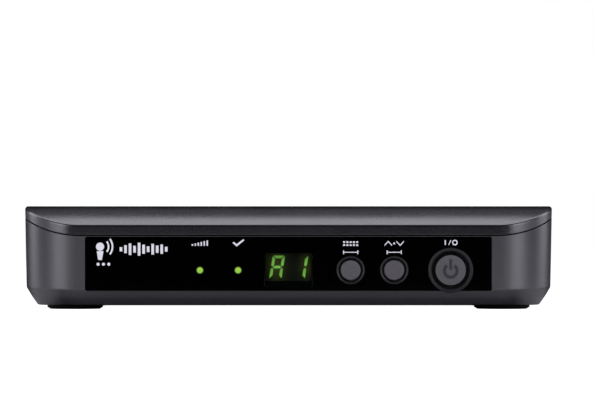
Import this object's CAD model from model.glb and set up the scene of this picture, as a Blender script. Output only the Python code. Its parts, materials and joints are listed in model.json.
# A tabletop wireless audio receiver in a low plastic case with rounded corners.
# Width runs along X and depth along Y. The front panel faces -Y and the feet stand on z = 0.
# Shapes are in millimetres and are scaled to metres when a mesh is made.
import json
import math

import bmesh
import bpy
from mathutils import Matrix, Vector
from mathutils.geometry import tessellate_polygon


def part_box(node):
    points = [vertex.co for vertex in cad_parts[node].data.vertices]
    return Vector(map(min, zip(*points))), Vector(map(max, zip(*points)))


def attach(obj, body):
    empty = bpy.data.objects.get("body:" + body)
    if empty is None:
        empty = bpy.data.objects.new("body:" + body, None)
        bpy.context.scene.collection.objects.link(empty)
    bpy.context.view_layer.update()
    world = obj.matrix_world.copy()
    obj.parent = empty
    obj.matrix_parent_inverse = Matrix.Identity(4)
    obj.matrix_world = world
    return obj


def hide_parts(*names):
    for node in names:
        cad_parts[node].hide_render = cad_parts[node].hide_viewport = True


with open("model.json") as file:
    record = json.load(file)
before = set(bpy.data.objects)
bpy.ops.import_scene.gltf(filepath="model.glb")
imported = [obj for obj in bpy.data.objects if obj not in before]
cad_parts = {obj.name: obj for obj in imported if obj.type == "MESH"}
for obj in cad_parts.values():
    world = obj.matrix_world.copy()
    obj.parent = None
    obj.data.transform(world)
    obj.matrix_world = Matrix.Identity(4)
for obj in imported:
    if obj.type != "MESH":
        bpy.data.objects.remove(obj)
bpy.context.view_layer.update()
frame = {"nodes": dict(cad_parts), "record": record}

MM = 0.001


def mm_box(node):
    lo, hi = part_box(node)
    return [c * 1000 for c in lo], [c * 1000 for c in hi]


def centre_xz(node):
    lo, hi = mm_box(node)
    return (lo[0] + hi[0]) / 2, (lo[2] + hi[2]) / 2


# ------------------------------------------------------------------ driving dimensions

# case
cover_lo, cover_hi = mm_box("top_cover")
WIDTH = cover_hi[0] - cover_lo[0]
TOP = cover_hi[2]
DEPTH = 103.0
# a CAD cover of clearly another depth takes over from the nominal depth
if abs(cover_hi[1] - DEPTH / 2) > 0.6:
    DEPTH = 2 * cover_hi[1]
BASE = mm_box("lower_housing")[0][2]     # underside of the case
CORNER_R = 20.0                          # corners in plan
STRAIGHT_X = WIDTH / 2 - CORNER_R        # half lengths of the straight sides
STRAIGHT_Y = DEPTH / 2 - CORNER_R
DRAFT = 0.0185                           # walls lean inwards this much per mm of rise
SLOPE_RUN, SLOPE_FALL = 25.6, 6.85       # the top curves down to the front
SLOPE_Y = -DEPTH / 2 + SLOPE_RUN         # where that curve starts
SLOPE_R = (SLOPE_RUN ** 2 + SLOPE_FALL ** 2) / (2 * SLOPE_FALL)
BAND = 3.55                              # height of the cover's upright band

screws_hi = mm_box("case_screws")[1]
SCREW_HEAD_R = 2.8
SCREW_X, SCREW_Y = screws_hi[0] - SCREW_HEAD_R, screws_hi[1] - SCREW_HEAD_R
SCREWS = [(i * SCREW_X, j * SCREW_Y) for j in (-1, 1) for i in (-1, 1)]
FEET = [(x, y) for x in (-76, 76) for y in (-34.5, 34.5)]

# front panel
fascia_lo, fascia_hi = mm_box("front_fascia")
FASCIA_X = fascia_hi[0]
FASCIA_Y = fascia_lo[1]
FASCIA_Z0, FASCIA_Z1 = fascia_lo[2], fascia_hi[2]
PLATE_FRONT, PLATE_BACK = FASCIA_Y + 2.05, FASCIA_Y + 3.70    # housing wall behind the fascia
LENS_R, LENS_FLANGE_R = 1.25, 1.95
lamps_lo, lamps_hi = mm_box("led_light_pipes")
LAMP_X = (lamps_lo[0] + LENS_FLANGE_R, lamps_hi[0] - LENS_FLANGE_R)
ROW_Z = (lamps_lo[2] + lamps_hi[2]) / 2                       # lamps and keys share this height
GROUP_X = centre_xz("group_bezel")[0]
CHANNEL_X = centre_xz("channel_bezel")[0]
POWER_X, POWER_Z = centre_xz("power_bezel")
KEY_HOLE_R, POWER_HOLE_R = 4.55, 6.95
window_lo, window_hi = mm_box("display_window")
WINDOW_X, WINDOW_Z = centre_xz("display_window")
WINDOW_W, WINDOW_H = window_hi[0] - window_lo[0], window_hi[2] - window_lo[2]
DIGIT_X = (-4.0, 6.1)                                         # middles of the lit digits

# back panel: places are (x, z)
XLR = centre_xz("xlr_shell")
JACK = centre_xz("jack_ferrule")
LEVEL = centre_xz("volume_pot_shaft")
dc_lo, dc_hi = mm_box("dc_jack_body")
DC_JACK = ((dc_lo[0] + dc_hi[0]) / 2, dc_lo[2] + 6.65)
REAR_OUT, REAR_IN = DEPTH / 2 - 2.7, DEPTH / 2 - 5.1          # faces of the recessed wall
TIE_X, TIE_Z = 57.0, 17                                       # cord tie-off


# ------------------------------------------------------------------ shader tools

class Shader:
    """Adds nodes to one node tree."""

    def __init__(self, tree):
        self.tree = tree

    def feed(self, socket, value):
        """Sets an input from a value, a socket, or a node (its first output)."""
        if isinstance(value, bpy.types.Node):
            value = value.outputs[0]
        if isinstance(value, bpy.types.NodeSocket):
            self.tree.links.new(value, socket)
        elif value is not None:
            socket.default_value = value

    def add(self, kind, inputs={}, **settings):
        node = self.tree.nodes.new("ShaderNode" + kind)
        for key, value in settings.items():
            setattr(node, key, value)
        for key, value in inputs.items():
            self.feed(node.inputs[key], value)
        return node

    def output(self, shader):
        self.add("OutputMaterial", {"Surface": shader})

    def coords(self, space="Object"):
        return self.add("TexCoord").outputs[space]

    def split(self, vector):
        return self.add("SeparateXYZ", {"Vector": vector}).outputs

    def noise(self, vector, scale, detail, roughness=0.5):
        return self.add("TexNoise", {"Vector": vector, "Scale": scale, "Detail": detail,
                                     "Roughness": roughness})

    def ramp(self, factor, *stops):
        """Colour ramp; stops are (position, rgb)."""
        node = self.add("ValToRGB", {"Fac": factor})
        elements = node.color_ramp.elements
        while len(elements) < len(stops):
            elements.new(0.5)
        for element, (position, colour) in zip(elements, stops):
            element.position = position
            element.color = (*colour, 1)
        return node

    def map_range(self, value, source, target, smooth=False):
        kind = "SMOOTHSTEP" if smooth else "LINEAR"
        return self.add("MapRange", {
            "Value": value, "From Min": source[0], "From Max": source[1],
            "To Min": target[0], "To Max": target[1]}, clamp=True, interpolation_type=kind)

    def calc(self, operation, a, b=None, clamp=False):
        return self.add("Math", {0: a, 1: b}, operation=operation, use_clamp=clamp)

    def mix_colour(self, factor, a, b, blend="MIX"):
        # sockets 6, 7 and 2 are the colour inputs and the colour result
        node = self.add("Mix", {0: factor, 6: a, 7: b}, data_type="RGBA", blend_type=blend)
        return node.outputs[2]

    def mix_shader(self, factor, a, b):
        return self.add("MixShader", {0: factor, 1: a, 2: b})

    def bump(self, height, strength, normal=None):
        return self.add("Bump", {"Height": height, "Strength": strength, "Distance": 0.0001,
                                 "Normal": normal})

    def unevenness(self, noise):
        """A factor close to 1 that wavers with the noise."""
        return self.calc("ADD", self.calc("MULTIPLY", noise, 0.1), 0.95)


def new_material(name):
    material = bpy.data.materials.new(name)
    material.use_nodes = True
    material.node_tree.nodes.clear()
    return material, Shader(material.node_tree)


def tint(colour, factor):
    return tuple(v * factor for v in colour)


# ------------------------------------------------------------------ materials

def surface(name, base, rough, metal=0.0, tone=0.1, tone_scale=60, rough_var=0.05, grain=0.0,
            grain_scale=2500, fine=0.0, fine_scale=8000, blotch=0.0, spec=0.5,
            stretch=(1, 1, 1), emit=None, emit_strength=0.0):
    """A surface whose colour, roughness and relief vary by noise in object space.

    tone and rough_var are the spread of colour and roughness, over noise of tone_scale.
    grain and fine are bump strengths, each with its noise scale. blotch darkens small specks.
    """
    material, sh = new_material(name)
    where = sh.add("Mapping", {"Vector": sh.coords(), "Scale": stretch})
    broad = sh.noise(where, tone_scale, detail=5.0, roughness=0.6)
    colour = sh.ramp(broad, (0.3, tint(base, 1 - tone)), (0.7, tint(base, 1 + tone)))
    if blotch:
        speck = sh.noise(where, grain_scale * 0.55, detail=2.0)
        specks = sh.ramp(speck, (0.35, (1 - blotch,) * 3), (0.65, (1, 1, 1)))
        colour = sh.mix_colour(1.0, colour, specks, blend="MULTIPLY")
    normal = None
    for strength, scale in ((grain, grain_scale), (fine, fine_scale)):
        if strength:
            relief = sh.noise(where, scale, detail=3.0, roughness=0.55)
            normal = sh.bump(relief, strength, normal)
    bsdf = sh.add("BsdfPrincipled", {
        "Base Color": colour, "Metallic": metal, "Specular IOR Level": spec,
        "Coat Roughness": 0.05, "Normal": normal,
        "Roughness": sh.map_range(broad, (0.3, 0.7), (rough - rough_var, rough + rough_var))})
    if emit:
        sh.feed(bsdf.inputs["Emission Color"],
                sh.ramp(broad, (0.3, tint(emit, 0.93)), (0.7, emit)))
        sh.feed(bsdf.inputs["Emission Strength"], emit_strength)
    sh.output(bsdf)
    material.diffuse_color = (*base, 1)
    return material


def soften_corners(material, rough, base):
    """Makes upright faces rougher and lighter where they turn away from front and back."""
    sh = Shader(material.node_tree)
    bsdf = next(n for n in sh.tree.nodes if n.type == "BSDF_PRINCIPLED")
    normal = sh.split(sh.coords("Normal"))
    turned = sh.map_range(sh.calc("ABSOLUTE", normal["X"]), (0.20, 0.46), (0.0, 1.0))
    upright = sh.map_range(sh.calc("ABSOLUTE", normal["Z"]), (0.25, 0.45), (1.0, 0.0))
    mask = sh.calc("MULTIPLY", turned, upright)
    socket = bsdf.inputs["Roughness"]
    # sockets 2 and 3 are the float inputs of the mix
    sh.feed(socket, sh.add("Mix", {0: mask, 2: socket.links[0].from_socket, 3: rough}))
    socket = bsdf.inputs["Base Color"]
    sh.feed(socket, sh.mix_colour(mask, socket.links[0].from_socket, (*base, 1)))


COVER = surface("cover_abs", base=(0.0040, 0.0040, 0.0048), rough=0.23, tone=0.06, rough_var=0.02,
                grain=0.13, grain_scale=2600, blotch=0.06, fine=0.10, spec=0.9)
soften_corners(COVER, rough=0.36, base=(0.040, 0.0392, 0.0418))
CASE = surface("housing_abs", base=(0.0262, 0.0258, 0.0278), rough=0.36, tone=0.05,
               rough_var=0.02, grain=0.10, grain_scale=3200, spec=0.9)
GLOSS = surface("fascia_gloss", base=(0.0003, 0.0003, 0.0003), rough=0.05, tone=0.2,
                rough_var=0.015, tone_scale=25, spec=0.35)
RING = surface("ring_satin", base=(0.0112, 0.0110, 0.0118), rough=0.38, tone=0.08,
               rough_var=0.04, spec=0.30)
KEY = surface("key_satin", base=(0.078, 0.0752, 0.0785), rough=0.42, tone=0.09, tone_scale=800,
              rough_var=0.03, grain=0.08, grain_scale=4200, spec=0.4)
ICON = surface("key_mark_dark", base=(0.0170, 0.0162, 0.0175), rough=0.5, tone=0.08)
INK = surface("ink_white", base=(0.72, 0.72, 0.74), rough=0.55, tone=0.04, tone_scale=900,
              grain=0.1, grain_scale=6000)
SEAM = surface("seam_black", base=(0.0025, 0.0025, 0.003), rough=0.8, tone=0.15, spec=0.05)
RUBBER = surface("foot_rubber", base=(0.0075, 0.0075, 0.0082), rough=0.75, tone=0.15,
                 rough_var=0.08, grain=0.3, grain_scale=3500, spec=0.08)
SCREW = surface("zinc_screw", base=(0.56, 0.56, 0.55), rough=0.3, metal=1, tone=0.12,
                tone_scale=700, rough_var=0.1, grain=0.08, grain_scale=5000)
NYLON = surface("nylon_black", base=(0.016, 0.016, 0.018), rough=0.45, tone=0.12, grain=0.2,
                grain_scale=4000, spec=0.45)
NICKEL = surface("nickel", base=(0.66, 0.65, 0.62), rough=0.2, metal=1, tone=0.05,
                 tone_scale=300, rough_var=0.06)
SILVER = surface("silver_contact", base=(0.78, 0.77, 0.72), rough=0.22, metal=1, tone=0.06,
                 tone_scale=500, rough_var=0.08)
GOLD = surface("gold_contact", base=(0.83, 0.62, 0.25), rough=0.25, metal=1, tone=0.06,
               tone_scale=500, rough_var=0.08)
BRASS = surface("brass_insert", base=(0.72, 0.52, 0.22), rough=0.32, metal=1, tone_scale=500,
                rough_var=0.1, grain=0.1, grain_scale=3000)
COPPER = surface("copper_trace", base=(0.72, 0.36, 0.18), rough=0.32, metal=1, tone_scale=400,
                 rough_var=0.1)
SHEET = surface("tinned_sheet", base=(0.60, 0.60, 0.60), rough=0.33, metal=1, tone=0.07,
                tone_scale=180, rough_var=0.08, grain=0.05)
DOME = surface("spring_steel", base=(0.55, 0.54, 0.52), rough=0.25, metal=1, tone=0.08,
               tone_scale=900, rough_var=0.08)
CAN = surface("crystal_can", base=(0.66, 0.66, 0.66), rough=0.24, metal=1, tone=0.05,
              tone_scale=300, rough_var=0.06)
CHIP = surface("chip_epoxy", base=(0.018, 0.018, 0.019), rough=0.55, tone=0.15, tone_scale=800,
               rough_var=0.08, grain=0.2, grain_scale=9000)
ALU = surface("heatsink_aluminium", base=(0.55, 0.55, 0.56), rough=0.38, metal=1, tone=0.08,
              tone_scale=150, rough_var=0.08, stretch=(6, 6, 1), grain=0.08, grain_scale=900)
SLEEVE = surface("capacitor_sleeve", base=(0.020, 0.028, 0.085), rough=0.28, tone=0.08)
FERRITE = surface("ferrite", base=(0.045, 0.045, 0.05), rough=0.6, tone=0.2, tone_scale=900,
                  rough_var=0.1, grain=0.25, grain_scale=6000)
CERAMIC = surface("chip_ceramic", base=(0.42, 0.30, 0.18), rough=0.45, tone=0.18, tone_scale=700)
IVORY = surface("nylon_ivory", base=(0.68, 0.63, 0.50), rough=0.45, tone=0.06, grain=0.08,
                grain_scale=4000)
WHITE_NYLON = surface("nylon_white", base=(0.70, 0.68, 0.60), rough=0.45, tone=0.05, grain=0.08,
                      grain_scale=4000)
RIBBON = surface("ribbon_grey", base=(0.46, 0.46, 0.46), rough=0.5, tone=0.12, tone_scale=900,
                 stretch=(6, 0.2, 0.2))
JACKET = surface("coax_jacket", base=(0.018, 0.018, 0.018), rough=0.45, tone=0.12)
POT = surface("pot_phenolic", base=(0.035, 0.06, 0.12), rough=0.4, grain=0.1)
SHAFT = surface("turned_steel", base=(0.52, 0.52, 0.52), rough=0.28, metal=1, tone=0.08,
                tone_scale=250, rough_var=0.08)
KNOB = surface("knob_satin", base=(0.016, 0.016, 0.018), rough=0.4, grain=0.15, grain_scale=3500)
LED = surface("led_green", base=(0.10, 0.28, 0.05), rough=0.25, tone=0.05,
              emit=(0.42, 0.9, 0.08), emit_strength=0.6)


def board_material():
    """Green board with a faint grid of lighter lines."""
    material, sh = new_material("board_green")
    where = sh.coords()
    grid = sh.add("TexBrick", {
        "Vector": where, "Scale": 260.0, "Mortar Size": 0.06,
        "Color1": (0.010, 0.090, 0.040, 1), "Color2": (0.016, 0.120, 0.052, 1),
        "Mortar": (0.035, 0.20, 0.085, 1)})
    colour = sh.mix_colour(sh.noise(where, scale=140.0, detail=3.0),
                           (0.012, 0.10, 0.045, 1), grid.outputs["Color"])
    sh.output(sh.add("BsdfPrincipled", {
        "Base Color": colour, "Roughness": 0.32,
        "Normal": sh.bump(grid.outputs["Fac"], strength=0.15)}))
    return material


def label_material():
    """Metallic film brushed along X."""
    material, sh = new_material("label_film")
    where = sh.add("Mapping", {"Vector": sh.coords(), "Scale": (4, 300, 4)})
    colour = sh.ramp(sh.noise(where, scale=9.0, detail=4.0),
                     (0.3, (0.36, 0.37, 0.39)), (0.7, (0.46, 0.47, 0.49)))
    sh.output(sh.add("BsdfPrincipled", {"Base Color": colour, "Roughness": 0.38,
                                        "Metallic": 0.6}))
    return material


def window_material():
    """Smoked filter: what is behind shows through, darkened and slightly green."""
    material, sh = new_material("smoked_window")
    where = sh.coords()
    tone = sh.ramp(sh.noise(where, scale=300.0, detail=2.0),
                   (0.3, (0.84, 0.91, 0.80)), (0.7, (0.88, 0.94, 0.84)))
    # darker below the display module
    low = mm_box("display_module")[0][2]
    dark = sh.map_range(sh.split(where)["Z"], ((low - 0.1) * MM, (low + 0.15) * MM), (0.5, 1.0))
    shade = sh.add("VectorMath", {"Vector": tone, "Scale": dark}, operation="SCALE")
    clear = sh.add("BsdfTransparent", {"Color": shade})
    body = sh.add("BsdfPrincipled", {"Roughness": 0.06, "Specular IOR Level": 0.35,
                                     "Base Color": (0.0026, 0.0032, 0.0032, 1)})
    sh.output(sh.mix_shader(0.22, clear, body))
    return material


def spot(sh, xyz, at_x, at_z, size_x, size_z):
    """A soft round patch of light on a face, 1 in the middle."""
    squares = []
    for axis, centre, size in (("X", at_x, size_x), ("Z", at_z, size_z)):
        away = sh.calc("DIVIDE", sh.calc("SUBTRACT", xyz[axis], centre * MM), size * MM)
        squares.append(sh.calc("MULTIPLY", away, away))
    return sh.calc("POWER", 2.71828, sh.calc("MULTIPLY", sh.calc("ADD", *squares), -1.0))


def display_material(name, base, glow):
    """Dark display body with the light of the lit digits spilling over it."""
    material, sh = new_material(name)
    where = sh.coords()
    xyz = sh.split(where)
    colour = sh.ramp(sh.noise(where, scale=500.0, detail=3.0),
                     (0.3, tint(base, 0.8)), (0.7, tint(base, 1.2)))
    digit_z = centre_xz("display_segments_lit")[1]
    first = spot(sh, xyz, DIGIT_X[0], digit_z, size_x=2.7, size_z=4.3)
    second = spot(sh, xyz, DIGIT_X[1], digit_z, size_x=1.9, size_z=3.9)
    spill = sh.calc("ADD", first, sh.calc("MULTIPLY", second, 0.75))
    sh.output(sh.add("BsdfPrincipled", {
        "Base Color": colour, "Roughness": 0.6, "Specular IOR Level": 0.2,
        "Emission Color": sh.mix_colour(spill, (0.0018, 0.0019, 0.0013, 1), (*glow, 1)),
        "Emission Strength": 1.0}))
    return material


def lamp_material():
    """Lit lens: bright in the middle, dimmer at its rim, a little yellower towards the top."""
    material, sh = new_material("light_pipe_green")
    where = sh.coords()
    xyz = sh.split(where)
    middle, half = (LAMP_X[0] + LAMP_X[1]) / 2, (LAMP_X[1] - LAMP_X[0]) / 2
    # distance from the nearer of the two lens axes
    across = sh.calc("ABSOLUTE", sh.calc("SUBTRACT", xyz["X"], middle * MM))
    across = sh.calc("SUBTRACT", across, half * MM)
    rise = sh.calc("SUBTRACT", xyz["Z"], (ROW_Z - 0.1) * MM)
    squares = sh.calc("ADD", sh.calc("MULTIPLY", across, across),
                      sh.calc("MULTIPLY", rise, rise))
    rim = sh.map_range(sh.calc("SQRT", squares), (0.82 * MM, 1.24 * MM), (0.88, 0.05),
                       smooth=True)
    uneven = sh.unevenness(sh.noise(where, scale=900.0, detail=2.0))
    height = sh.calc("ADD", sh.calc("DIVIDE", rise, 2.2 * MM), 0.5, clamp=True)
    colour = sh.ramp(height, (0.0, (0.17, 0.49, 0.055)), (0.5, (0.30, 0.575, 0.042)),
                     (1.0, (0.37, 0.60, 0.032)))
    sh.output(sh.add("BsdfPrincipled", {
        "Base Color": (0.06, 0.12, 0.02, 1), "Roughness": 0.25, "Specular IOR Level": 0.2,
        "Emission Color": colour, "Emission Strength": sh.calc("MULTIPLY", rim, uneven)}))
    return material


def segment_material():
    """Lit digit bars: each brightens towards its lower end; the middle bar is brightest."""
    material, sh = new_material("segment_lit")
    where = sh.coords()
    noise = sh.noise(where, scale=700.0, detail=2.0)
    lo, hi = mm_box("display_segments_lit")
    half = (hi[2] - lo[2]) / 2
    # 1 at the foot of the digits, 0 in the middle, -1 at the head
    down = sh.calc("SUBTRACT", (lo[2] + hi[2]) / 2 * MM, sh.split(where)["Z"])
    down = sh.calc("DIVIDE", down, half * MM)
    middle = sh.calc("LESS_THAN", sh.calc("ABSOLUTE", down), 0.115)
    level = sh.calc("ADD", sh.calc("MULTIPLY", sh.calc("FRACT", down), 0.56), 0.83)
    level = sh.calc("MAXIMUM", level, sh.calc("MULTIPLY", middle, 1.38))
    level = sh.calc("MULTIPLY", level, sh.unevenness(noise))
    colour = sh.ramp(noise, (0.3, (0.250, 0.56, 0.108)), (0.7, (0.262, 0.60, 0.113)))
    sh.output(sh.add("BsdfPrincipled", {
        "Base Color": (0.02, 0.05, 0.02, 1), "Roughness": 0.5,
        "Emission Color": colour, "Emission Strength": level}))
    return material


BOARD = board_material()
LABEL = label_material()
WINDOW = window_material()
MODULE = display_material("display_body", base=(0.004, 0.0045, 0.0045),
                          glow=(0.050, 0.054, 0.0085))
SEGMENT_OFF = display_material("segment_unlit", base=(0.005, 0.006, 0.0055),
                               glow=(0.054, 0.059, 0.0095))
SEGMENT_ON = segment_material()
PIPE = lamp_material()


# ------------------------------------------------------------------ mesh tools
# A part is (verts in mm, faces). A loop is a list of flat points, counter-clockwise.

def link_object(name, data):
    thing = bpy.data.objects.new(name, data)
    bpy.context.scene.collection.objects.link(thing)
    return thing


def join(name, parts):
    """One mesh in metres from several parts."""
    verts, faces = [], []
    for part_verts, part_faces in parts:
        first = len(verts)
        verts += [(x * MM, y * MM, z * MM) for x, y, z in part_verts]
        faces += [[first + i for i in face] for face in part_faces]
    mesh = bpy.data.meshes.new(name)
    mesh.from_pydata(verts, [], faces)
    return mesh


def clean(mesh, extra=(), merge=0.0005, degenerate=None):
    """Adds extra parts, merges doubles closer than merge (mm) and points normals outwards."""
    bm = bmesh.new()
    bm.from_mesh(mesh)
    for verts, faces in extra:
        made = [bm.verts.new((x * MM, y * MM, z * MM)) for x, y, z in verts]
        for face in faces:
            bm.faces.new([made[i] for i in face])
    bmesh.ops.remove_doubles(bm, verts=bm.verts, dist=merge * MM)
    if degenerate:
        bmesh.ops.dissolve_degenerate(bm, edges=bm.edges, dist=degenerate)
    bmesh.ops.recalc_face_normals(bm, faces=bm.faces)
    bm.to_mesh(mesh)
    bm.free()


def finish_mesh(name, mesh, materials, slot, replaced=None, body="case", angle=32,
                flat_front=False):
    """Shades the mesh and registers it. flat_front keeps faces square to Y flat."""
    for face in mesh.polygons:
        face.use_smooth = True
    mesh.set_sharp_from_angle(angle=math.radians(angle))
    if flat_front:
        for face in mesh.polygons:
            face.use_smooth = abs(face.normal.y) < 0.9999
    thing = link_object(name, mesh)
    mesh.materials.clear()
    for material in materials:
        mesh.materials.append(material)
    if not flat_front:
        weighted = thing.modifiers.new("weighted", "WEIGHTED_NORMAL")
        weighted.keep_sharp = True
        weighted.weight = 50
    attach(thing, body)
    if replaced:
        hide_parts(replaced)
    return thing


def make(name, parts, materials, slot, **options):
    mesh = join(name, parts)
    clean(mesh, degenerate=1e-9)
    return finish_mesh(name, mesh, materials, slot, **options)


def rounded(corners, seg=4, closed=False):
    """A polyline of (u, v, radius) with its corners turned into arcs; radius 0 stays sharp."""
    out = []
    count = len(corners)
    for i, (u, v, radius) in enumerate(corners):
        if not radius or (not closed and i in (0, count - 1)):
            out.append((u, v))
            continue
        before, after = corners[i - 1], corners[(i + 1) % count]
        in_u, in_v = before[0] - u, before[1] - v
        out_u, out_v = after[0] - u, after[1] - v
        in_len, out_len = math.hypot(in_u, in_v), math.hypot(out_u, out_v)
        in_u, in_v, out_u, out_v = in_u / in_len, in_v / in_len, out_u / out_len, out_v / out_len
        half = math.acos(max(-1, min(1, in_u * out_u + in_v * out_v))) / 2
        # the arc may take up to 0.48 of either side
        cut = min(radius / math.tan(half), in_len * 0.48, out_len * 0.48)
        arc_r = cut * math.tan(half)
        mid_u, mid_v = in_u + out_u, in_v + out_v
        mid_len = math.hypot(mid_u, mid_v)
        reach = arc_r / math.sin(half)
        arc_u, arc_v = u + mid_u / mid_len * reach, v + mid_v / mid_len * reach
        start = math.atan2(v + in_v * cut - arc_v, u + in_u * cut - arc_u)
        end = math.atan2(v + out_v * cut - arc_v, u + out_u * cut - arc_u)
        sweep = (end - start + math.pi) % (2 * math.pi) - math.pi
        for k in range(seg + 1):
            t = start + sweep * k / seg
            out.append((arc_u + arc_r * math.cos(t), arc_v + arc_r * math.sin(t)))
    return out


def revolve(profile, axis, at, seg=72, closed=False):
    """Turns (radius, position along the axis) points round a Y or Z axis.

    at is the axis's place on the other two axes. closed joins the last point to the first.
    """
    verts, faces, rings = [], [], []
    for radius, along in profile:
        steps = 1 if radius < 1e-6 else seg
        rings.append(list(range(len(verts), len(verts) + steps)))
        for k in range(steps):
            t = 2 * math.pi * k / seg
            u, v = at[0] + radius * math.cos(t), at[1] + radius * math.sin(t)
            verts.append((u, along, v) if axis == "Y" else (u, v, along))
    pairs = list(zip(rings, rings[1:])) + ([(rings[-1], rings[0])] if closed else [])
    for a, b in pairs:
        for k in range(seg):
            j = (k + 1) % seg
            if len(a) == 1:
                faces.append([a[0], b[j], b[k]])
            elif len(b) == 1:
                faces.append([a[k], a[j], b[0]])
            else:
                faces.append([a[k], a[j], b[j], b[k]])
    return verts, faces


def bridge(first, count, rows):
    """Quads between rows of count vertices each, starting at vertex first."""
    faces = []
    for row in range(rows - 1):
        a, b = first + row * count, first + (row + 1) * count
        for k in range(count):
            j = (k + 1) % count
            faces.append([a + k, a + j, b + j, b + k])
    return faces


def loft(loops, caps=False):
    count = len(loops[0])
    verts = [p for loop in loops for p in loop]
    faces = bridge(0, count, len(loops))
    if caps:
        faces.append(list(range(count)))
        faces.append(list(range(len(verts) - count, len(verts))))
    return verts, faces


def circle(radius, at, n=64):
    """radius is a number or a function of the angle."""
    points = []
    for k in range(n):
        t = 2 * math.pi * k / n
        r = radius(t) if callable(radius) else radius
        points.append((at[0] + r * math.cos(t), at[1] + r * math.sin(t)))
    return points


def round_rect(w, h, r, at=(0, 0), n=6):
    points = []
    corners = ((w / 2 - r, h / 2 - r), (-w / 2 + r, h / 2 - r),
               (-w / 2 + r, -h / 2 + r), (w / 2 - r, -h / 2 + r))
    for quarter, (u, v) in enumerate(corners):
        for k in range(n + 1):
            t = math.radians(90 * quarter + 90 * k / n)
            points.append((at[0] + u + r * math.cos(t), at[1] + v + r * math.sin(t)))
    return points


def offset(loop, distance):
    """Moves a counter-clockwise loop outwards."""
    out = []
    for i, p in enumerate(loop):
        before, after = loop[i - 1], loop[(i + 1) % len(loop)]
        normals = []
        for a, b in ((before, p), (p, after)):
            u, v = b[0] - a[0], b[1] - a[1]
            length = math.hypot(u, v)
            normals.append((v / length, -u / length))
        (u1, v1), (u2, v2) = normals
        k = 1 + u1 * u2 + v1 * v2
        out.append((p[0] + (u1 + u2) / k * distance, p[1] + (v1 + v2) / k * distance))
    return out


def at_y(loop, y):
    return [(x, y, z) for x, z in loop]


def at_z(loop, z):
    return [(x, y, z) for x, y in loop]


def slab(outer, holes, y0, y1, edge, hole_edge=0.0):
    """A flat panel with holes, from y0 (front) to y1 (back), its front edges rounded."""
    seg = 3
    verts, faces, fronts, backs = [], [], [], []
    for number, loop in enumerate([outer, *holes]):
        outward, soft = (1, hole_edge) if number else (-1, edge)
        first, count = len(verts), len(loop)
        for k in range(seg + 1):
            t = math.pi / 2 * k / seg
            moved = offset(loop, outward * soft * (1 - math.sin(t)))
            verts += at_y(moved, y0 + soft * (1 - math.cos(t)))
        verts += at_y(loop, y1)
        faces += bridge(first, count, seg + 2)
        fronts.append(list(range(first, first + count)))
        backs.append(list(range(len(verts) - count, len(verts))))
    for group in (fronts, backs):
        outlines = [[Vector((verts[i][0], verts[i][2], 0)) for i in ids] for ids in group]
        flat = [i for ids in group for i in ids]
        for triangle in tessellate_polygon(outlines):
            faces.append([flat[i] for i in triangle])
    return verts, faces


def block(lo, hi):
    x0, y0, z0 = lo
    x1, y1, z1 = hi
    verts = [(x0, y0, z0), (x1, y0, z0), (x1, y1, z0), (x0, y1, z0),
             (x0, y0, z1), (x1, y0, z1), (x1, y1, z1), (x0, y1, z1)]
    return verts, [[0, 3, 2, 1], [4, 5, 6, 7], [0, 1, 5, 4],
                   [1, 2, 6, 5], [2, 3, 7, 6], [3, 0, 4, 7]]


def soft_block(lo, hi, r):
    """A block with every edge rounded, made as rings up its height."""
    seg = 2
    width, depth = hi[0] - lo[0], hi[1] - lo[1]
    middle = ((hi[0] + lo[0]) / 2, (hi[1] + lo[1]) / 2)
    quarter = [math.pi / 2 * k / seg for k in range(seg + 1)]
    levels = [(t, lo[2] + r * (1 - math.cos(t))) for t in quarter]
    levels += [(t, hi[2] - r * (1 - math.cos(t))) for t in reversed(quarter)]
    loops = []
    for t, z in levels:
        inset = r * (1 - math.sin(t))
        loop = round_rect(width - 2 * inset, depth - 2 * inset, max(r - inset, 0.02), middle, seg)
        loops.append(at_z(loop, z))
    return loft(loops, caps=True)


def cylinder_y(r, y0, y1, at, n=48):
    loop = circle(r, at, n)
    return loft([at_y(loop, y0), at_y(loop, y1)], caps=True)


def prism_x(outline, half):
    """A (y, z) outline drawn out along X to both sides."""
    return loft([[(x, y, z) for y, z in outline] for x in (-half, half)], caps=True)


def operand(parts):
    """A loose object for a boolean."""
    mesh = join("operand", parts)
    clean(mesh)
    return link_object("operand", mesh)


def carve(solid, added, removed):
    """Joins and then cuts a solid by exact booleans; each is a list of part lists."""
    target = operand(solid)
    others = []
    for operation, groups in (("UNION", added), ("DIFFERENCE", removed)):
        for parts in groups:
            other = operand(parts)
            others.append(other)
            boolean = target.modifiers.new("boolean", "BOOLEAN")
            boolean.operation = operation
            boolean.solver = "EXACT"
            boolean.object = other
    bpy.context.view_layer.update()
    graph = bpy.context.evaluated_depsgraph_get()
    mesh = bpy.data.meshes.new_from_object(target.evaluated_get(graph), depsgraph=graph)
    for thing in (*others, target):
        bpy.data.objects.remove(thing)
    return mesh


# ------------------------------------------------------------------ case form

def top_z(y):
    if y >= SLOPE_Y:
        return TOP
    return TOP - (SLOPE_R - math.sqrt(SLOPE_R * SLOPE_R - (y - SLOPE_Y) ** 2))


def top_slope(y):
    if y >= SLOPE_Y:
        return 0.0
    return (SLOPE_Y - y) / math.sqrt(SLOPE_R * SLOPE_R - (y - SLOPE_Y) ** 2)


def wall_inset(z):
    return DRAFT * (TOP - z)


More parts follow.
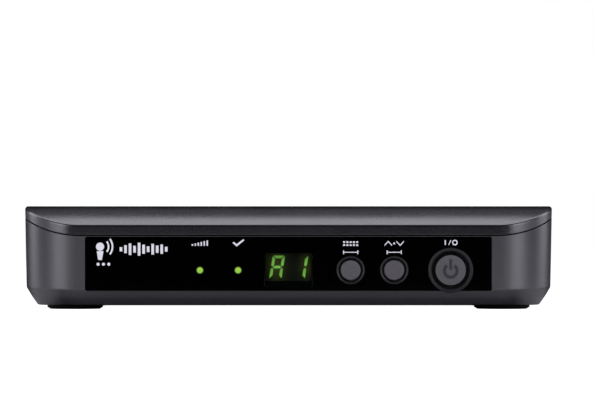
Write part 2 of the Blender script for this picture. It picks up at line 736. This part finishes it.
def plan():
    """Points round the case as (x, y, normal x, normal y), matched between front and back."""
    corner_steps = 28
    half_x, half_y = WIDTH / 2, DEPTH / 2
    xs = [-STRAIGHT_X + 2 * STRAIGHT_X * k / 12 for k in range(13)]
    ys = sorted([-STRAIGHT_Y, -29.5, -27.7, SLOPE_Y, -23.5, -18, -9, 0, 9, 18, 25, STRAIGHT_Y])
    # each straight side with the corner that follows it
    runs = (
        ([(half_x, y, 1, 0) for y in ys[:-1]], (STRAIGHT_X, STRAIGHT_Y)),
        ([(x, half_y, 0, 1) for x in xs[::-1][:-1]], (-STRAIGHT_X, STRAIGHT_Y)),
        ([(-half_x, y, -1, 0) for y in ys[::-1][:-1]], (-STRAIGHT_X, -STRAIGHT_Y)),
        ([(x, -half_y, 0, -1) for x in xs[:-1]], (STRAIGHT_X, -STRAIGHT_Y)),
    )
    points = []
    for quarter, (side, (x, y)) in enumerate(runs):
        points += side
        for k in range(corner_steps):
            t = math.radians(90 * quarter + 90 * k / corner_steps)
            out_x, out_y = math.cos(t), math.sin(t)
            points.append((x + CORNER_R * out_x, y + CORNER_R * out_y, out_x, out_y))
    return points


# ------------------------------------------------------------------ top cover

SKIN = 1.95             # thickness of the top
LIP = 1.05              # thickness of the upright band
LIP_EDGE_R = 0.14       # its lower outer edge
TOP_EDGE_R = 0.75       # the edge between band and top
RIB = 0.7               # half thickness of the ribs inside
RIB_X = (-45, 0, 45)    # ribs that run front to back
RIB_BAYS = ((-78, -45.7), (-44.3, -0.7), (0.7, 44.3), (45.7, 78))    # x spans between them


def cover_column(edge_x, edge_y, out_x, out_y):
    """One section of the cover: inner skin, lip, band, rounded edge and top."""
    def wall(depth, z):
        inset = wall_inset(z) + depth
        return (edge_x - out_x * inset, edge_y - out_y * inset, z)

    def inwards(start, share, drop):
        """A point part of the way from start to the middle line, at drop below the top."""
        half_line = (WIDTH - DEPTH) / 2
        target = max(-half_line, min(half_line, edge_x))
        x, y = start[0] + (target - start[0]) * share, start[1] - start[1] * share
        return (x, y, top_z(y) - drop)

    near_top = top_z(edge_y) - 1
    lip_z = top_z(wall(0, near_top)[1]) - BAND + 0.175
    shares = [k / 16 * 0.52 for k in range(1, 17)] + [0.64, 0.8, 1.0]

    inner = wall(LIP, near_top)
    column = [inwards(inner, share, SKIN) for share in [*reversed(shares), 0]]
    column += [wall(LIP, lip_z), wall(0.6, lip_z)]
    for k in range(5):
        t = math.pi / 2 * k / 4
        column.append(wall(LIP_EDGE_R * (1 - math.sin(t)), lip_z + LIP_EDGE_R * (1 - math.cos(t))))

    # settle the centre of the upper edge's arc, which touches both wall and top
    z = near_top
    for _ in range(4):
        x, y, _z = wall(TOP_EDGE_R, z)
        z = top_z(y) - TOP_EDGE_R * math.sqrt(1 + top_slope(y) ** 2)
    centre = Vector((x, y, z))
    wall_normal = Vector((out_x, out_y, -DRAFT)).normalized()
    top_normal = Vector((0, -top_slope(y), 1)).normalized()

    band_z = lip_z + LIP_EDGE_R
    arc_z = (centre + wall_normal * TOP_EDGE_R).z
    column += [wall(0, band_z + (arc_z - band_z) * k / 4) for k in (1, 2, 3)]
    angle = wall_normal.angle(top_normal)
    for k in range(8):
        t = k / 7
        direction = (wall_normal * math.sin((1 - t) * angle)
                     + top_normal * math.sin(t * angle)) / math.sin(angle)
        column.append(tuple(centre + direction * TOP_EDGE_R))
    outer = centre + top_normal * TOP_EDGE_R
    column += [inwards(outer, share, 0) for share in [0.006, 0.015] + shares]
    return column


def build_cover():
    parts = [loft(list(zip(*[cover_column(*point) for point in plan()])))]
    post = [(2.35, 22.0), (2.6, 22.0), (3.9, 22.0), (3.9, TOP - 2.0), (2.35, TOP - 2.0)]
    for at in SCREWS:
        parts.append(revolve(post, "Z", at, 40, closed=True))
    low, high = TOP - 3.8, TOP - 1.9
    for x in RIB_X:
        parts.append(block((x - RIB, -22, low), (x + RIB, 46, high)))
    for y in (-14, 18):
        for x0, x1 in RIB_BAYS:
            parts.append(block((x0, y - RIB, low), (x1, y + RIB, high)))
    make("cover_shell", parts, [COVER], "case_plastic", replaced="top_cover", angle=40)


build_cover()


# ------------------------------------------------------------------ lower housing

WALL = 2.2              # thickness of the lower walls
FLOOR_Z = BASE + 2.5    # top of the case floor
FLANK = 0.65            # the flanks below the walls lean outwards this much per mm of rise


def housing_column(edge_x, edge_y, out_x, out_y):
    """One section of the housing: underside, flank, wall, tongue and inner face."""
    lead = 0.45 * max(0.0, -out_y)

    def flank(z):
        return 4.65 - FLANK * (z - BASE) - lead

    # the flank meets the drafted wall at join_z
    join_z = (4.65 + FLANK * BASE - lead - DRAFT * TOP) / (FLANK - DRAFT)
    wall_y = edge_y - out_y * wall_inset(top_z(edge_y) - 4)
    rim_z = top_z(wall_y) - BAND - 0.25
    rim = wall_inset(rim_z)
    join_inset = wall_inset(join_z)
    mid_z = (BASE + join_z) / 2
    profile = [    # distance outwards, z, corner radius
        (-14, BASE, 0), (-flank(BASE), BASE, 1.05), (-flank(mid_z) + 0.12, mid_z - 0.07, 9.0),
        (-join_inset, join_z, 1.2), (-rim, rim_z, 0.07), (-rim - 1.2, rim_z, 0),
        (-rim - 1.2, rim_z + 1.7, 0), (-rim - WALL, rim_z + 1.7, 0),
        (-join_inset - WALL, join_z + 0.8, 0.8), (-flank(FLOOR_Z) - WALL, FLOOR_Z, 0.8),
        (-15, FLOOR_Z, 0)]
    return [(edge_x + out_x * away, edge_y + out_y * away, z) for away, z in rounded(profile)]


def wall_cut(loop, deep, side, flare):
    """A cutter through the front (side -1) or back (side 1) wall with a rounded mouth."""
    steps = 3

    def shifted(spread, proud):
        return [(x, side * (DEPTH / 2 - wall_inset(wall_z)) + side * proud, z)
                for (x, z), (_, wall_z) in zip(offset(loop, spread), loop)]

    loops = [at_y(loop, deep)]
    for k in range(steps + 1):
        t = math.pi / 2 * k / steps
        loops.append(shifted(flare * (1 - math.cos(t)), -flare * (1 - math.sin(t))))
    loops.append(shifted(flare + 1.5, 1.5))
    return loft(loops, caps=True)


def housing_blanks():
    """Solids added to the shell: front plate, back plate, and the pad behind the tie-off."""
    front = [(PLATE_BACK, 3.6), (-48.0, 3.6), (-50.1, 7.1), (-50.6, 25.7), (PLATE_BACK, 25.7)]
    rear = [(REAR_IN, 3.6), (47.5, 3.6), (50.0, 7.7), (50.7, 30.5), (REAR_IN, 30.5)]
    tie = block((TIE_X - 8, REAR_IN - 3.2, 7.6), (TIE_X + 8, REAR_IN + 0.3, 26))
    return [[prism_x(front, 76)], [prism_x(rear, 72)], [tie]]


def front_cuts():
    """Recess for the fascia, a seat round the power key, and holes through the plate."""
    z0, z1 = FASCIA_Z0 - 0.12, FASCIA_Z1 + 0.16
    outline = round_rect(2 * (FASCIA_X + 0.15), z1 - z0, 0.8, (0, (z0 + z1) / 2), 5)
    recess = wall_cut(outline, PLATE_FRONT, side=-1, flare=0.05)
    seat = cylinder_y(8.2, -56, FASCIA_Y + 0.05, (POWER_X, POWER_Z), 72)
    y0, y1 = PLATE_FRONT - 0.6, PLATE_BACK + 1
    sizes = [(2.1, x) for x in LAMP_X] + [(4.62, GROUP_X), (4.62, CHANNEL_X), (7.0, POWER_X)]
    through = [cylinder_y(r, y0, y1, (x, ROW_Z)) for r, x in sizes]
    through.append(block((-8.9, y0, WINDOW_Z - 6.2), (8.9, y1, WINDOW_Z + 6.95)))
    return [[recess], [seat], through]


def rear_cuts():
    """Recess in the back and its openings, each with a small chamfer at its mouth."""
    recess = wall_cut(round_rect(138, 23.8, 2.5, (0, 18.5), 8), REAR_OUT, side=1, flare=0.45)
    openings = []
    for r, at in ((10.95, XLR), (4.85, JACK), (4.85, LEVEL), (4.15, DC_JACK)):
        profile = [(0, REAR_IN - 1), (r, REAR_IN - 1), (r, REAR_OUT - 0.25),
                   (r + 0.3, REAR_OUT + 0.05), (r + 0.6, REAR_OUT + 0.35), (0, REAR_OUT + 0.35)]
        openings.append(revolve(profile, "Y", at))
    tie = round_rect(12, 14.6, 1.5, (TIE_X, TIE_Z), 6)
    openings.append(loft([at_y(tie, REAR_IN - 1.1), at_y(tie, REAR_OUT - 0.4),
                          at_y(offset(tie, 0.45), REAR_OUT + 0.05),
                          at_y(offset(tie, 1.0), REAR_OUT + 0.6)], caps=True))
    return [[recess], openings]


def underside_cuts():
    """Foot seats, screw holes and the label recess."""
    foot = [(0, BASE - 1), (10.4, BASE - 1), (10.25, BASE - 0.05), (10.05, BASE + 0.2),
            (10.05, BASE + 0.8), (0, BASE + 0.8)]
    screw = [(0, BASE - 1), (3.9, BASE - 1), (3.6, BASE - 0.05), (3.2, BASE + 0.35),
             (3.2, BASE + 3.2), (1.75, BASE + 3.2), (1.75, 6.0), (0, 6.0)]
    cuts = [revolve(foot, "Z", at) for at in FEET]
    cuts += [revolve(screw, "Z", at, 48) for at in SCREWS]
    label = round_rect(60.4, 30.4, 2.2, (0, 4), 6)
    cuts.append(loft([at_z(label, BASE + 0.2), at_z(label, BASE + 0.1),
                      at_z(offset(label, 0.12), BASE - 0.02),
                      at_z(offset(label, 0.9), BASE - 0.8)], caps=True))
    return [cuts]


def tie_bar():
    """Upright bar across the tie-off opening, with a foot at each end."""
    outline = round_rect(3.2, 1.5, 0.6, n=5)
    # height from the middle and scale of the section
    lower = [(-9.7, 0.55), (-9.62, 0.8), (-9.4, 0.95)]
    stations = lower + [(-9.0 + 18.0 * k / 8, 1.0) for k in range(9)]
    stations += [(-rise, scale) for rise, scale in reversed(lower)]
    bar = loft([[(TIE_X + x * scale, REAR_OUT + 1.65 + y * scale, TIE_Z + rise)
                 for x, y in outline] for rise, scale in stations], caps=True)
    feet = [soft_block((TIE_X - 1.6, REAR_OUT - 0.3, TIE_Z + s * 8.5 - 1.2),
                       (TIE_X + 1.6, REAR_OUT + 1.3, TIE_Z + s * 8.5 + 1.2), 0.4)
            for s in (-1, 1)]
    return [bar, *feet]


def housing_islands():
    """Parts that sit against the moulding without being joined to it."""
    parts = []
    screw_post = [(1.75, 5.0), (4, 3.95), (4, 21.6), (3.8, 21.8), (1.75, 21.8)]
    for at in SCREWS:
        parts.append(revolve(screw_post, "Z", at, 40, closed=True))
    # posts under the main board
    board_post = [(1.28, 2.6), (3.2, 3.5), (3.2, 5.6), (1.28, 5.6)]
    for at in ((-67, -32), (67, -32), (-67, 40), (67, 34), (-22, -31)):
        parts.append(revolve(board_post, "Z", at, 32, closed=True))
    # posts behind the front plate
    y0, y1 = PLATE_BACK - 0.5, PLATE_BACK + 4.5
    for x in (-38.5, 70.5):
        for z in (20, 9):
            parts.append(revolve([(1.28, y0), (2.6, y0), (2.6, y1), (1.28, y1)], "Y", (x, z), 32,
                                 closed=True))
    # pairs of upright plates with a slot between them, by the side walls
    for side in (-1, 1):
        x = side * (WIDTH / 2 - 4.9)
        for y in (-20.4, 20.4):
            for x0, x1 in ((x - 1.5, x - 0.55), (x + 0.55, x + 1.5)):
                parts.append(block((x0, y - 1, 3.5), (x1, y + 1, 12)))
    return parts + tie_bar()


def build_housing():
    shell = loft(list(zip(*[housing_column(*point) for point in plan()])), caps=True)
    mesh = carve([shell], housing_blanks(), front_cuts() + rear_cuts() + underside_cuts())
    clean(mesh, housing_islands(), merge=0.0008, degenerate=1e-8)
    mesh.name = "housing_shell"
    finish_mesh("housing_shell", mesh, [CASE, SEAM], "case_plastic", replaced="lower_housing")
    # the tongue and ledge inside the shadow gap under the cover are black
    for face in mesh.polygons:
        x, y, z = (v * 1000 for v in face.center)
        past_x = x - max(-STRAIGHT_X, min(STRAIGHT_X, x))
        past_y = y - max(-STRAIGHT_Y, min(STRAIGHT_Y, y))
        away = math.hypot(past_x, past_y)
        if away > 12:
            rim_y = (y - past_y) + past_y / away * (CORNER_R - 0.2)
            if z > top_z(rim_y) - BAND - 0.265:
                face.material_index = 1


build_housing()


def build_feet():
    """Turned rubber pads with a rounded rim and shallow grooves in the sole."""
    profile = [    # radius, z, corner radius
        (0, 0.18, 0), (3.4, 0.18, 0.1), (3.8, 0.0, 0.15), (6.0, 0.0, 0.1), (6.3, 0.16, 0.1),
        (6.8, 0.16, 0.1), (7.1, 0.0, 0.1), (8.7, 0.0, 0.2), (9.1, 0.15, 0.2), (9.35, 0.42, 0.12),
        (9.75, 0.5, 0.2), (9.9, 0.8, 0.15), (9.9, 2.15, 0.05), (0, 2.15, 0)]
    feet = [revolve(rounded(profile, 3), "Z", at) for at in FEET]
    make("foot_pads", feet, [RUBBER], "rubber_black", replaced="rubber_feet", angle=50)


build_feet()


# ------------------------------------------------------------------ front panel

def build_fascia():
    window_at = (WINDOW_X, WINDOW_Z)
    holes = [round_rect(WINDOW_W + 0.1, WINDOW_H + 0.1, 1.05, window_at, 8)]
    holes += [circle(LENS_R + 0.05, (x, ROW_Z), 48) for x in LAMP_X]
    holes += [circle(KEY_HOLE_R, (x, ROW_Z), 72) for x in (GROUP_X, CHANNEL_X)]
    holes.append(circle(POWER_HOLE_R, (POWER_X, ROW_Z), 96))
    outline = round_rect(2 * FASCIA_X, FASCIA_Z1 - FASCIA_Z0, 0.7,
                         (0, (FASCIA_Z0 + FASCIA_Z1) / 2), 8)
    back = FASCIA_Y + 2.0
    panel = slab(outline, holes, FASCIA_Y, back, edge=0.1, hole_edge=0.03)
    make("fascia_panel", [panel], [GLOSS], "gloss_black", replaced="front_fascia", angle=60,
         flat_front=True)
    lens = slab(round_rect(WINDOW_W, WINDOW_H, 1.0, window_at, 8), [], FASCIA_Y, back, edge=0.02)
    make("window_lens", [lens], [WINDOW], "smoked_window", replaced="display_window", angle=60,
         flat_front=True)


def build_lamps():
    """Domed ends of the light pipes, each with a flange behind the fascia."""
    stations = [    # radius, y from the fascia, corner radius
        (0, -0.12, 0), (0.55, -0.09, 0.2), (0.95, -0.02, 0.2), (1.18, 0.1, 0.2),
        (LENS_R, 0.3, 0.1), (LENS_R, 2.02, 0), (LENS_FLANGE_R, 2.02, 0.1),
        (LENS_FLANGE_R, 2.75, 0.1), (LENS_R, 2.75, 0), (LENS_R, 3.4, 0.1), (0, 3.4, 0)]
    profile = rounded([(r, FASCIA_Y + y, soft) for r, y, soft in stations], 2)
    pipes = [revolve(profile, "Y", (x, ROW_Z), 48) for x in LAMP_X]
    make("lamp_pipes", pipes, [PIPE], "light_pipe", replaced="led_light_pipes", angle=50)


def body_of(node):
    """The moving body that a CAD node belongs to."""
    bodies = frame["record"]["behaviour"]["bodies"]
    return next(body for body, members in bodies.items() if node in members)


def build_key(name, node, x, crown, flange_r, seg, materials):
    """A round key. crown is (radius, y from the fascia, corner radius), from the middle out."""
    stem_r = crown[-1][0]
    back = PLATE_BACK + 0.06
    profile = [(r, FASCIA_Y + y, soft) for r, y, soft in crown]
    profile += [(stem_r, back, 0.2), (flange_r, back, 0.15), (flange_r, back + 0.8, 0.15),
                (0, back + 0.8, 0)]
    return make(name, [revolve(rounded(profile, 5), "Y", (x, ROW_Z), seg)], materials,
                "key_plastic", replaced=node, body=body_of(node), angle=45)


def build_keys():
    small = [(0, -0.44, 0), (1.6, -0.46, 3.0), (2.8, -0.52, 2.0), (3.52, -0.55, 0.38)]
    large = [(0, -0.86, 0), (4.7, -0.9, 1.0), (5.32, -0.95, 0.2), (5.7, 0.4, 0.6)]
    build_key("group_cap", "group_button", GROUP_X, small, 5.2, 96, [KEY])
    build_key("channel_cap", "channel_button", CHANNEL_X, small, 5.2, 96, [KEY])
    power = build_key("power_cap", "power_button", POWER_X, large, 7.6, 128, [KEY, RING])
    # the power key's side is darker than its face
    for face in power.data.polygons:
        middle = face.center
        if math.hypot(middle.x - POWER_X * MM, middle.z - ROW_Z * MM) > 5.29 * MM:
            face.material_index = 1


def build_ring(name, node, x, inner, sleeve, crest, outer, proud):
    """A ring round a key: a sleeve through the fascia and a rim that stands proud of it."""
    profile = [
        (inner, PLATE_BACK, 0), (inner, FASCIA_Y + 0.1, 0.3),
        (crest, FASCIA_Y - proud + 0.15, 0.15), (outer - 0.25, FASCIA_Y - proud, 0.25),
        (outer, FASCIA_Y - proud * 0.5, 0.15), (outer, FASCIA_Y - 0.02, 0.05),
        (sleeve, FASCIA_Y - 0.02, 0), (sleeve, PLATE_BACK, 0)]
    make(name, [revolve(rounded(profile), "Y", (x, ROW_Z), 96, closed=True)], [RING],
         "ring_plastic", replaced=node, angle=45)


build_fascia()
build_lamps()
build_keys()
for key, key_x in (("group", GROUP_X), ("channel", CHANNEL_X)):
    build_ring(key + "_ring", key + "_bezel", key_x, inner=4.2, sleeve=4.5, crest=4.4,
               outer=5.04, proud=0.55)
build_ring("power_ring", "power_bezel", POWER_X, inner=6.6, sleeve=6.9, crest=6.95, outer=8.0,
           proud=0.6)


# ------------------------------------------------------------------ back panel

def build_xlr():
    """Round cup with a rectangular flange behind the wall."""
    mouth, inside, end = REAR_OUT + 1.1, REAR_IN - 10.9, REAR_IN - 15.4
    profile = [(0, inside, 0), (9.6, inside, 0.2), (9.6, mouth, 0.35), (10.8, mouth, 0.4),
               (10.8, end, 0.3), (0, end, 0)]
    flange = slab(round_rect(24.4, 22.1, 2, XLR, 6), [circle(10.78, XLR, 72)],
                  REAR_IN - 13.4, REAR_IN - 0.1, edge=0.3, hole_edge=0.3)
    make("xlr_cup", [revolve(rounded(profile), "Y", XLR, 96), flange], [NYLON], "nylon_black",
         replaced="xlr_shell", angle=40)


def build_jack_sleeve():
    y0, y1 = REAR_IN - 2.9, REAR_OUT + 2.5
    profile = rounded([(3.2, y0, 0.1), (4.7, y0, 0.2), (4.7, y1, 0.45), (3.2, y1, 0.5)],
                      closed=True)
    make("jack_sleeve", [revolve(profile, "Y", JACK, closed=True)], [NICKEL], "nickel",
         replaced="jack_ferrule", angle=40)


def build_hex_nut():
    """A nut with its corners chamfered by a cone on both faces."""
    across_flats, corner_r, bore = 13.0, 7.2, 4.74
    seg = 96
    y0, y1 = REAR_OUT + 0.05, REAR_OUT + 2.05
    rows = []
    for y, inset in ((y0, 0.45), (y0 + 0.28, 0.0), ((y0 + y1) / 2, 0.0), (y1 - 0.32, 0.0),
                     (y1, 0.5)):
        def hexagon(t):
            from_flat = (t + math.pi / 6) % (math.pi / 3) - math.pi / 6
            return min(across_flats / 2 / math.cos(from_flat), corner_r - inset * 1.6)
        rows.append(at_y(circle(hexagon, JACK, seg), y))
    for r, y in ((bore + 0.35, y1), (bore, y1 - 0.3), (bore, y0 + 0.3), (bore + 0.35, y0)):
        rows.append(at_y(circle(r, JACK, seg), y))
    rows.append(rows[0])
    make("jack_hex_nut", [loft(rows)], [NICKEL], "nickel", replaced="jack_nut", angle=30)


def knob():
    """A ribbed knob with a rounded crown and a D-shaped bore for the shaft."""
    seg = 180
    y0, y1 = REAR_IN - 1, REAR_OUT + 2.3
    rows = []
    # y, height of the ribs, inset of the side
    for y, rib, inset in ((y0, 0.9, 0.15), (y0 + 0.2, 1.0, 0.0), (y1 - 1.2, 1.0, 0.0),
                          (y1 - 0.7, 1.0, 0.0), (y1 - 0.4, 0.7, 0.06), (y1 - 0.15, 0.25, 0.25),
                          (y1, 0.0, 0.6)):
        def ribbed(t):
            return 4.15 - inset + 0.33 * rib * max(0.0, math.cos(18 * t)) ** 0.7
        rows.append(at_y(circle(ribbed, LEVEL, seg), y))
    for r, y in ((3.0, y1), (2.4, y1 - 0.08), (1.2, y1 - 0.12)):
        rows.append(at_y(circle(r, LEVEL, seg), y))
    verts, faces = loft(rows)
    # dished middle of the crown
    middle = len(verts)
    verts.append((LEVEL[0], y1 - 0.12, LEVEL[1]))
    last = middle - seg
    faces += [[last + k, last + (k + 1) % seg, middle] for k in range(seg)]
    # bore, joined to the rim at y0
    bore = len(verts)
    outline = [(x, min(z, LEVEL[1] + 1.53)) for x, z in circle(3.03, LEVEL, seg)]
    verts += at_y(outline, y0) + at_y(outline, REAR_OUT + 0.45)
    for k in range(seg):
        j = (k + 1) % seg
        faces.append([bore + k, bore + j, bore + seg + j, bore + seg + k])
        faces.append([k, j, bore + j, bore + k])
    faces.append([bore + seg + k for k in range(seg)])
    return verts, faces


def build_knob():
    body = body_of("volume_knob")
    make("level_knob", [knob()], [KNOB], "knob_black", replaced="volume_knob", body=body, angle=35)
    x, z = LEVEL
    pointer = soft_block((x - 0.28, REAR_OUT + 2.12, z + 1.0),
                         (x + 0.28, REAR_OUT + 2.30, z + 3.6), 0.08)
    make("level_pointer", [pointer], [INK], "ink_white", body=body, angle=40)


build_xlr()
build_jack_sleeve()
build_hex_nut()
build_knob()


# ------------------------------------------------------------------ CAD nodes that stay

KEPT = {
    "panel_icons": INK, "power_icon": ICON, "status_leds": LED,
    "display_module": MODULE, "display_segments_lit": SEGMENT_ON,
    "display_segments_unlit": SEGMENT_OFF, "display_pins": SILVER,
    "group_switch_plunger": IVORY, "channel_switch_plunger": IVORY,
    "power_switch_plunger": IVORY, "switch_bodies": NYLON, "switch_covers": SHEET,
    "switch_domes": DOME, "front_board": BOARD, "front_board_screws": SCREW,
    "main_board": BOARD, "main_board_screws": SCREW, "ribbon_cable": RIBBON,
    "ribbon_connectors": WHITE_NYLON, "tuner_shield": SHEET, "tuner_chips": CHIP,
    "microcontroller": CHIP, "crystal": CAN, "audio_chips": CHIP,
    "surface_mount_parts": CERAMIC, "voltage_regulator": CHIP, "regulator_heatsink": ALU,
    "filter_capacitors": SLEEVE, "power_choke": FERRITE, "antenna_boards": BOARD,
    "antenna_traces": COPPER, "antenna_cables": JACKET, "coax_connectors": GOLD,
    "xlr_insert": NYLON, "xlr_pins": SILVER, "jack_body": NYLON, "jack_contacts": SILVER,
    "dc_jack_body": NYLON, "dc_jack_contacts": SILVER, "volume_pot_body": POT,
    "volume_pot_shaft": SHAFT, "case_screws": SCREW, "threaded_inserts": BRASS,
    "rating_label": LABEL,
}
for node_name, part in frame["nodes"].items():
    if not part.hide_render:
        part.data.materials.clear()
        part.data.materials.append(KEPT[node_name])


# ------------------------------------------------------------------ stage (metres)

def floor_material():
    """White to the camera; to all other rays a grey disc that fades out with distance."""
    material, sh = new_material("floor_pale")
    where = sh.coords()
    tone = sh.ramp(sh.noise(where, scale=4.0, detail=2.0), (0.3, (0.9,) * 3), (0.7, (0.92,) * 3))
    lit = sh.add("BsdfDiffuse", {"Color": tone})
    black = sh.add("Emission", {"Strength": 0.0})
    glow = sh.add("Emission", {"Color": (1, 1, 1, 1), "Strength": 1.0})
    seen = sh.add("AddShader", {0: glow, 1: sh.mix_shader(0.3, black, lit)})

    xyz = sh.split(where)
    distance = sh.add("VectorMath", {"Vector": where}, operation="LENGTH").outputs["Value"]
    far = sh.map_range(distance, (0.24, 0.36), (0.8, 0.0), smooth=True)
    behind = sh.map_range(xyz["Y"], (-0.032, -0.010), (1.0, 0.03), smooth=True)
    # the floor darkens where it meets the front of the case
    side = sh.map_range(sh.calc("ABSOLUTE", xyz["X"]), (0.080, 0.089), (0.0, 1.0), smooth=True)
    ahead = sh.map_range(sh.calc("MULTIPLY", xyz["Y"], -1.0), (0.0465, 0.0570), (0.0, 1.0),
                         smooth=True)
    level = sh.calc("MULTIPLY", sh.calc("MULTIPLY", far, behind),
                    sh.calc("MAXIMUM", side, ahead))
    grey = sh.add("CombineColor", {0: level, 1: level, 2: level})
    unseen = sh.add("BsdfDiffuse", {"Color": grey})
    camera_ray = sh.add("LightPath").outputs["Is Camera Ray"]
    sh.output(sh.mix_shader(camera_ray, unseen, seen))
    return material


def build_floor():
    material = floor_material()
    mesh = bpy.data.meshes.new("floor")
    mesh.from_pydata(at_z(circle(6.0, (0, 0), 96), 0), [], [list(range(96))])
    mesh.materials.append(material)
    thing = link_object("floor", mesh)
    thing.location.z = -0.00002


def build_world():
    """White to the camera, nearly dark as a light."""
    world = bpy.data.worlds.new("studio")
    bpy.context.scene.world = world
    world.use_nodes = True
    world.node_tree.nodes.clear()
    sh = Shader(world.node_tree)
    ambient = sh.add("Background", {"Color": (0.9, 0.95, 1.0, 1), "Strength": 0.003})
    backdrop = sh.add("Background", {"Color": (1, 1, 1, 1), "Strength": 1.0})
    camera_ray = sh.add("LightPath").outputs["Is Camera Ray"]
    sh.add("OutputWorld", {"Surface": sh.mix_shader(camera_ray, ambient, backdrop)})


def softbox(name, at, target, width, height, radiance):
    """A cool rectangular light; radiance is the brightness its face shows."""
    light = bpy.data.lights.new(name, "AREA")
    light.shape = "RECTANGLE"
    light.size, light.size_y = width, height
    light.energy = radiance * width * height * math.pi
    light.color = (0.965, 0.955, 1.06)
    thing = link_object(name, light)
    thing.location = at
    thing.rotation_mode = "QUATERNION"
    thing.rotation_quaternion = (Vector(target) - Vector(at)).to_track_quat("-Z", "Y")
    thing.visible_camera = False


def polar(azimuth, distance, z):
    """Azimuth 0 is in front of the case (-Y) and grows towards -X."""
    t = math.radians(azimuth)
    return (-distance * math.sin(t), -distance * math.cos(t), z)


def build_lights():
    softbox("top_light", at=(0, 0.465, 1.0), target=(0, 0.465, 0), width=2.4, height=0.77,
            radiance=2.12)
    softbox("low_back", at=(0, 1.3, 1.02), target=(0, 0, 0.02), width=2.4, height=0.72,
            radiance=0.13)
    for side in (1, -1):
        target = (side * -0.06, 0, 0.02)
        softbox("side_back_%d" % side, at=polar(side * 110, distance=1.1, z=0.25), target=target,
                width=0.5, height=1.0, radiance=3.3)
        softbox("side_front_%d" % side, at=polar(side * 46, distance=1.1, z=0.4), target=target,
                width=0.56, height=0.8, radiance=5.35)


def build_camera():
    """A long lens 2 m in front of the case, looking level along +Y."""
    data = bpy.data.cameras.new("camera")
    camera = link_object("camera", data)
    data.sensor_width = 36.0
    data.lens = 343.0
    data.clip_start, data.clip_end = 0.05, 50
    camera.location = (0.00303, -DEPTH / 2 * MM - 2.0, 0.03516)
    camera.rotation_euler = (math.pi / 2, 0, 0)
    bpy.context.scene.camera = camera


build_floor()
build_world()
build_lights()
build_camera()
bpy.context.scene.view_settings.view_transform = "Standard"
